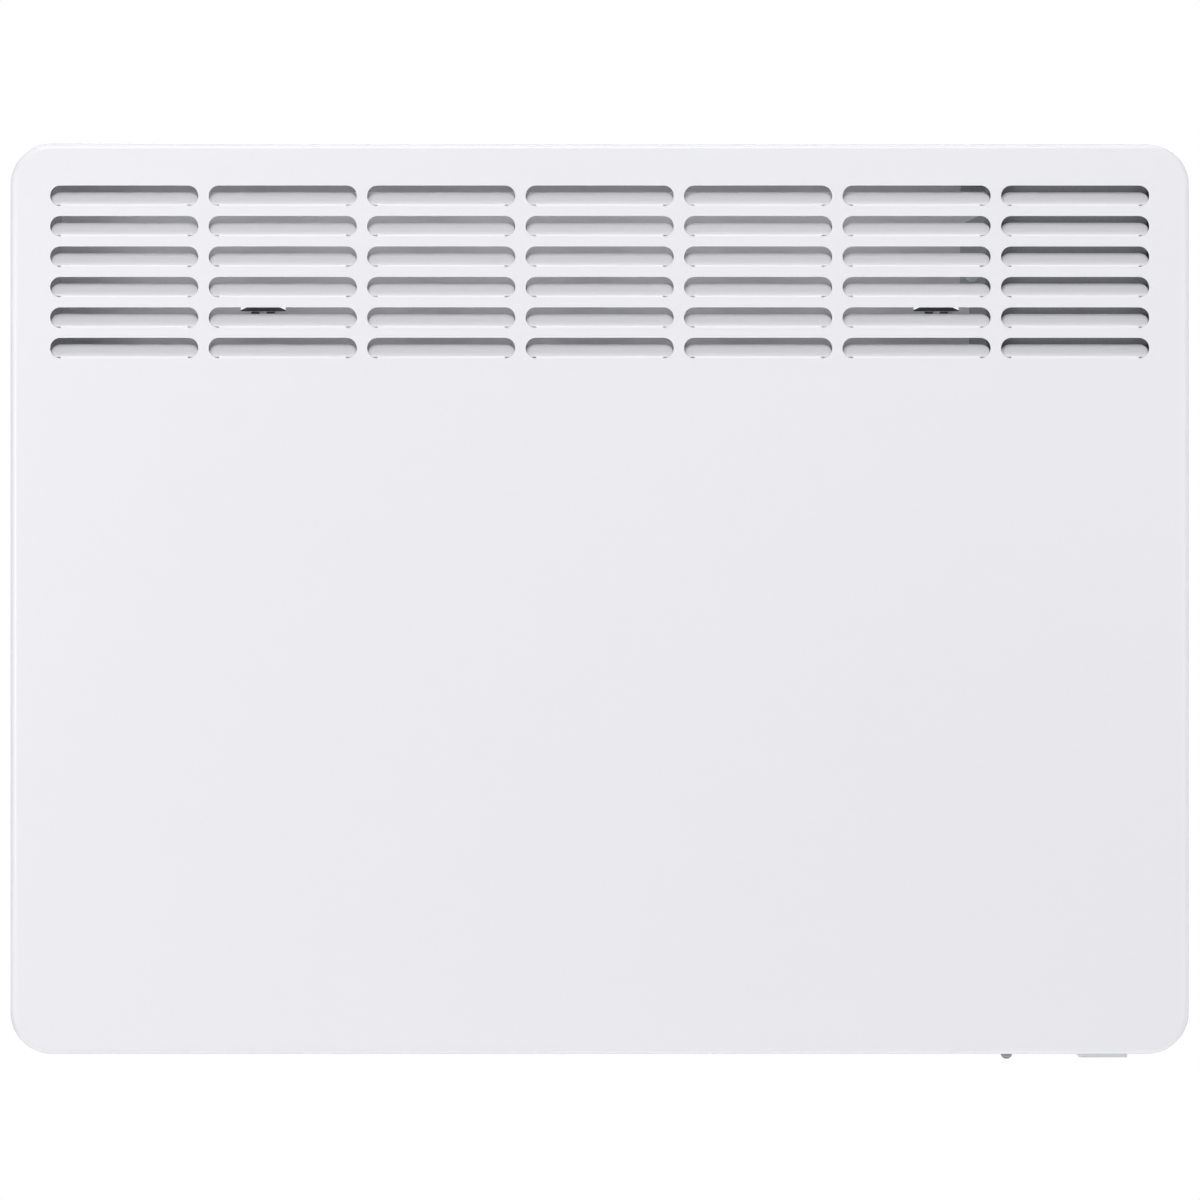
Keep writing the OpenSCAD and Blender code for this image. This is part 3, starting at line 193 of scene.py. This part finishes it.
def galvanised(name, color, roughness):
    """Zinc with a fine spangle, a few bright specks, and painted shade that darkens it towards the front
    of the heater.
    """
    s = Shader(name, color, roughness, metallic=0.25)
    crystal = s.cells(800)
    s.tint(crystal, low=0.92, high=1.07, start=0.1, end=0.9)
    # Painted shade: the zinc is darker towards the front of the heater, so its better lit front looks as
    # dim as its deep flange
    s.paint_shade_along((0, 1, 0), ZINC_PAINTED_SHADE_Y, ZINC_PAINTED_SHADE_SHARE)
    s.gloss(crystal, less=0.08, more=0.08, start=0.0, end=1.0)
    specks = s.mapped(s.noise(1500, 1), low=0.0, high=1.0, start=0.70, end=0.74)
    s.soft_edges(0.0003).bump(s.noise(400, 3), depth=0.00002, strength=0.4)
    return s.bump(specks, depth=0.00004, strength=0.6).material


def rolled(name, color, roughness, along=(1, 12, 12)):
    """Bare metal with fine drawn lines along one axis."""
    s = Shader(name, color, roughness, metallic=0.95)
    lines = s.noise(180, 4, 0.6, scale=along)
    s.tint(lines, low=0.86, high=1.08)
    s.gloss(lines, less=0.07, more=0.09)
    return s.soft_edges(0.00015).bump(lines, depth=0.00001, strength=0.4).material


def moulded(name, color, roughness, grain=1400, depth=0.00003):
    """Injection moulded plastic with a spark-eroded grain."""
    s = Shader(name, color, roughness)
    s.tint(s.noise(40, 2), low=0.97, high=1.02)
    s.gloss(s.noise(300, 3), less=0.01, more=0.015, start=0.1, end=0.9)
    return s.soft_edges(0.0003).bump(s.noise(grain, 2, 0.6), depth, strength=0.6).material


def rubber(name, color, roughness):
    """Matt rubber with an uneven bloom."""
    s = Shader(name, color, roughness, specular=0.3)
    s.tint(s.noise(120, 4), low=0.8, high=1.35)
    return s.soft_edges(0.0004).bump(s.noise(900, 3), depth=0.00005, strength=0.6).material


def heated(name, color, roughness):
    """Steel sheath, tinted straw and blue where it has been hot."""
    s = Shader(name, color, roughness, metallic=0.9)
    s.tint(s.noise(22, 3), low=(1.1, 0.98, 0.82), high=(0.85, 0.95, 1.15))
    s.gloss(s.noise(250, 3), less=0.08, more=0.1)
    return s.bump(s.noise(800, 3), depth=0.00002, strength=0.4).material


# Materials of the CAD nodes: how each is made, its colour and its roughness

LOOKS = {
    "white_coat": (powder_coat, (0.865, 0.862, 0.897), 0.26),
    "white_coat_inner": (powder_coat, (0.89, 0.89, 0.92), 0.5),
    "dark_coat": (powder_coat, (0.075, 0.078, 0.085), 0.5),
    "galvanised": (galvanised, (0.47, 0.48, 0.505), 0.5),
    "bright_sheet": (rolled, (0.72, 0.73, 0.74), 0.3),
    "black_rubber": (rubber, (0.035, 0.035, 0.038), 0.75),
    "heated_steel": (heated, (0.34, 0.33, 0.33), 0.42),
    "fin_aluminium": (rolled, (0.70, 0.71, 0.72), 0.36, (1, 1, 10)),
    "ceramic": (moulded, (0.86, 0.83, 0.76), 0.25, 300, 0.00001),
    "brass_tabs": (rolled, (0.70, 0.54, 0.27), 0.32),
    "black_plastic": (moulded, (0.03, 0.03, 0.032), 0.5),
    "grey_plastic": (moulded, (0.52, 0.53, 0.55), 0.5),
    "cream_plastic": (moulded, (0.80, 0.77, 0.68), 0.45),
    "screw_steel": (rolled, (0.52, 0.53, 0.54), 0.38, (6, 6, 6)),
    "knob_plastic": (moulded, (0.80, 0.80, 0.82), 0.42),
    "bulb_steel": (rolled, (0.30, 0.31, 0.32), 0.4, (10, 10, 1)),
    "copper_line": (rolled, (0.72, 0.40, 0.25), 0.35),
    "bezel_plastic": (moulded, (0.62, 0.63, 0.65), 0.35),
    "rocker_plastic": (moulded, (0.70, 0.71, 0.73), 0.3),
    "brown_wire": (moulded, (0.20, 0.09, 0.04), 0.45),
    "black_wire": (moulded, (0.03, 0.03, 0.03), 0.45),
    "red_wire": (moulded, (0.42, 0.05, 0.04), 0.5),
    "blue_wire": (moulded, (0.05, 0.13, 0.42), 0.45),
    "earth_wire": (moulded, (0.30, 0.45, 0.06), 0.45),
}
MATERIALS = {slot: make(slot, *values) for slot, (make, *values) in LOOKS.items()}

for part in frame["record"]["subparts"]:
    mesh = NODES[part["node"]].data
    mesh.materials.clear()
    mesh.materials.append(MATERIALS[part["material_slot"]])

# Moulded marks: a scale of dots round the knob, and an open and a closed mark on the rocker

JOINTS = {joint["name"]: joint for joint in frame["record"]["behaviour"]["joints"]}
KNOB_PLACE = Vector(JOINTS["knob_turn"]["pos_m"])
ROCKER_PLACE = Vector(JOINTS["switch_rock"]["pos_m"])
RECESS_DEEP = 0.013
DOT_RING = 0.0168
DOT_COUNT = 9
DOT_FROM, DOT_TO = JOINTS["knob_turn"]["range_deg"]
DOT_SMALL, DOT_LARGE = 0.0004, 0.0009
# Height of a dot as a share of its radius, and the degrees from step to step of its dome
DOT_RISE = 0.6
DOT_STEP = 15
ROCKER_TILT = 6
ROCKER_HALF = 0.012
ROCKER_MIDDLE = 0.0072
ROCKER_DISH = 0.0008
MARK_OUT = 0.0062
MARK_PROUD = 0.00015
MARK_ROOT = 0.0003
MARK_EDGE = 0.00008
OPEN_INNER, OPEN_OUTER = 0.0015, 0.0021
OPEN_SIDES = 40
CLOSED_LENGTH = 0.0042
CLOSED_WIDTH = 0.0006


def new_piece(name, body, slot, build):
    """A mesh piece that build() fills, riding on a body, with the material of a slot."""
    mesh = bpy.data.meshes.new(name)
    bm = bmesh.new()
    build(bm)
    bmesh.ops.recalc_face_normals(bm, faces=bm.faces)
    for face in bm.faces:
        face.smooth = True
    bm.to_mesh(mesh)
    bm.free()
    mesh.materials.append(MATERIALS[slot])
    piece = bpy.data.objects.new(name, mesh)
    bpy.context.collection.objects.link(piece)
    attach(piece, body)
    return piece


def revolved(bm, profile, place, sides=24):
    """Turns a profile of (radius, height) pairs round the z axis of a placing matrix."""
    rings = []
    for radius, height in profile:
        count = sides if radius > 0 else 1
        turns = [math.tau * k / sides for k in range(count)]
        rings.append([
            bm.verts.new(place @ Vector((radius * math.cos(turn), radius * math.sin(turn), height)))
            for turn in turns
        ])
    for low, high in zip(rings, rings[1:]):
        for k in range(sides):
            corners = [
                low[k % len(low)],
                low[(k + 1) % len(low)],
                high[(k + 1) % len(high)],
                high[k % len(high)],
            ]
            bm.faces.new(list(dict.fromkeys(corners)))


def knob_dots(bm):
    """Dots on the floor of the recess, over the range of the knob, that grow with the setting."""
    floor_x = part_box("control_housing")[1][0] - RECESS_DEEP
    outward = Matrix.Rotation(math.radians(90), 4, "Y")
    arc = [math.radians(a) for a in range(0, 90, DOT_STEP)]
    for k in range(DOT_COUNT):
        share = k / (DOT_COUNT - 1)
        turn = math.radians(DOT_FROM + share * (DOT_TO - DOT_FROM))
        size = DOT_SMALL + share * (DOT_LARGE - DOT_SMALL)
        spot = Vector((
            floor_x, KNOB_PLACE.y + DOT_RING * math.sin(turn), KNOB_PLACE.z + DOT_RING * math.cos(turn)
        ))
        rise = size * DOT_RISE
        dome = [(size * math.cos(a), rise * math.sin(a)) for a in arc] + [(0, rise)]
        revolved(bm, [(size, -MARK_ROOT)] + dome, Matrix.Translation(spot) @ outward)


def on_rocker(side):
    """Where a mark stands on the front (-1) or wall (1) half of the rocker, with z out of its face."""
    depth = ROCKER_MIDDLE + ROCKER_DISH * MARK_OUT / ROCKER_HALF
    slope = math.atan(ROCKER_DISH / ROCKER_HALF)
    return (
        Matrix.Translation(ROCKER_PLACE)
        @ Matrix.Rotation(math.radians(-ROCKER_TILT), 4, "X")
        @ Matrix.Translation((0, side * MARK_OUT, -depth))
        @ Matrix.Rotation(math.pi - side * slope, 4, "X")
    )


def open_mark(bm):
    """A raised ring on the front half of the rocker."""
    revolved(bm, [
        (OPEN_INNER, -MARK_ROOT),
        (OPEN_INNER, MARK_PROUD - MARK_EDGE),
        (OPEN_INNER + MARK_EDGE, MARK_PROUD),
        (OPEN_OUTER - MARK_EDGE, MARK_PROUD),
        (OPEN_OUTER, MARK_PROUD - MARK_EDGE),
        (OPEN_OUTER, -MARK_ROOT),
    ], on_rocker(-1), OPEN_SIDES)


def closed_mark(bm):
    """A raised bar on the wall half of the rocker."""
    middle = Matrix.Translation((0, 0, (MARK_PROUD - MARK_ROOT) / 2))
    size = Matrix.Diagonal((CLOSED_WIDTH, CLOSED_LENGTH, MARK_PROUD + MARK_ROOT, 1))
    bmesh.ops.create_cube(bm, size=1, matrix=on_rocker(1) @ middle @ size)
    bmesh.ops.bevel(bm, geom=bm.edges, offset=MARK_EDGE, segments=2, affect="EDGES")


new_piece("knob_scale_dots", "heater", "grey_plastic", knob_dots)
new_piece("rocker_open_mark", "rocker", "bezel_plastic", open_mark)
new_piece("rocker_closed_mark", "rocker", "bezel_plastic", closed_mark)

# Light and ground

# The camera, gloss and glass see a white world, which lights the object only weakly
WORLD_LIGHT = 0.08
world = bpy.data.worlds.new("world")
bpy.context.scene.world = world
world.use_nodes = True
nodes, links = world.node_tree.nodes, world.node_tree.links
background = nodes["Background"]
background.inputs["Color"].default_value = (1, 1, 1, 1)
rays = nodes.new("ShaderNodeLightPath")
seen = rays.outputs["Is Camera Ray"]
for kind in ("Is Glossy Ray", "Is Transmission Ray"):
    either = nodes.new("ShaderNodeMath")
    either.operation = "MAXIMUM"
    links.new(seen, either.inputs[0])
    links.new(rays.outputs[kind], either.inputs[1])
    seen = either.outputs[0]
strength = nodes.new("ShaderNodeMapRange")
strength.inputs["To Min"].default_value = WORLD_LIGHT
strength.inputs["To Max"].default_value = 1.0
links.new(seen, strength.inputs["Value"])
links.new(strength.outputs["Result"], background.inputs["Strength"])

# Soft lamps, all aimed at the heater: name, place, width and height, watts
LAMPS = [
    ("front_near_left", (-1.7, -3.9, 0.0), (1.4, 0.3), 36),
    ("front_near_right", (1.7, -3.9, 0.0), (1.4, 0.3), 12),
    ("front_low", (-0.2, -4.5, -1.6), (1.5, 1.5), 74),
    ("front_high", (-0.4, -3.4, 2.4), (2.0, 1.2), 55),
    ("left", (-2.2, -0.6, 0.1), (1.4, 1.4), 5.5),
    ("right_edge", (1.6, -0.16, 0.0), (0.3, 1.6), 5.4),
    ("top_edge", (0.0, -0.2, 1.3), (2.0, 0.3), 5.1),
    ("top_front", (0.0, -0.7, 1.5), (2.0, 0.6), 2.6),
    ("bottom_edge", (0.0, -0.16, -0.7), (2.0, 0.3), 1.75),
    ("back", (0.6, 3.0, 1.8), (2.0, 1.4), 60),
]
LAMP_AIM = Vector((0, -0.06, 0))

for name, place, size, watts in LAMPS:
    lamp_data = bpy.data.lights.new(name, "AREA")
    lamp_data.shape = "RECTANGLE"
    lamp_data.size, lamp_data.size_y = size
    lamp_data.energy = watts
    lamp = bpy.data.objects.new(name, lamp_data)
    lamp.visible_camera = False
    lamp.location = place
    lamp.rotation_euler = (LAMP_AIM - Vector(place)).to_track_quat("-Z", "Y").to_euler()
    bpy.context.collection.objects.link(lamp)

FLOOR_Z = -0.75
FLOOR_SIZE = 6.0
bpy.ops.mesh.primitive_plane_add(size=FLOOR_SIZE, location=(0, 0, FLOOR_Z))
floor = bpy.context.object
floor.name = "floor"
floor_look = Shader("floor", (0.80, 0.80, 0.80), 0.8)
floor_look.tint(floor_look.noise(3, 3), low=0.98, high=1.02)
floor.data.materials.append(floor_look.material)

bpy.context.scene.view_settings.view_transform = "Standard"
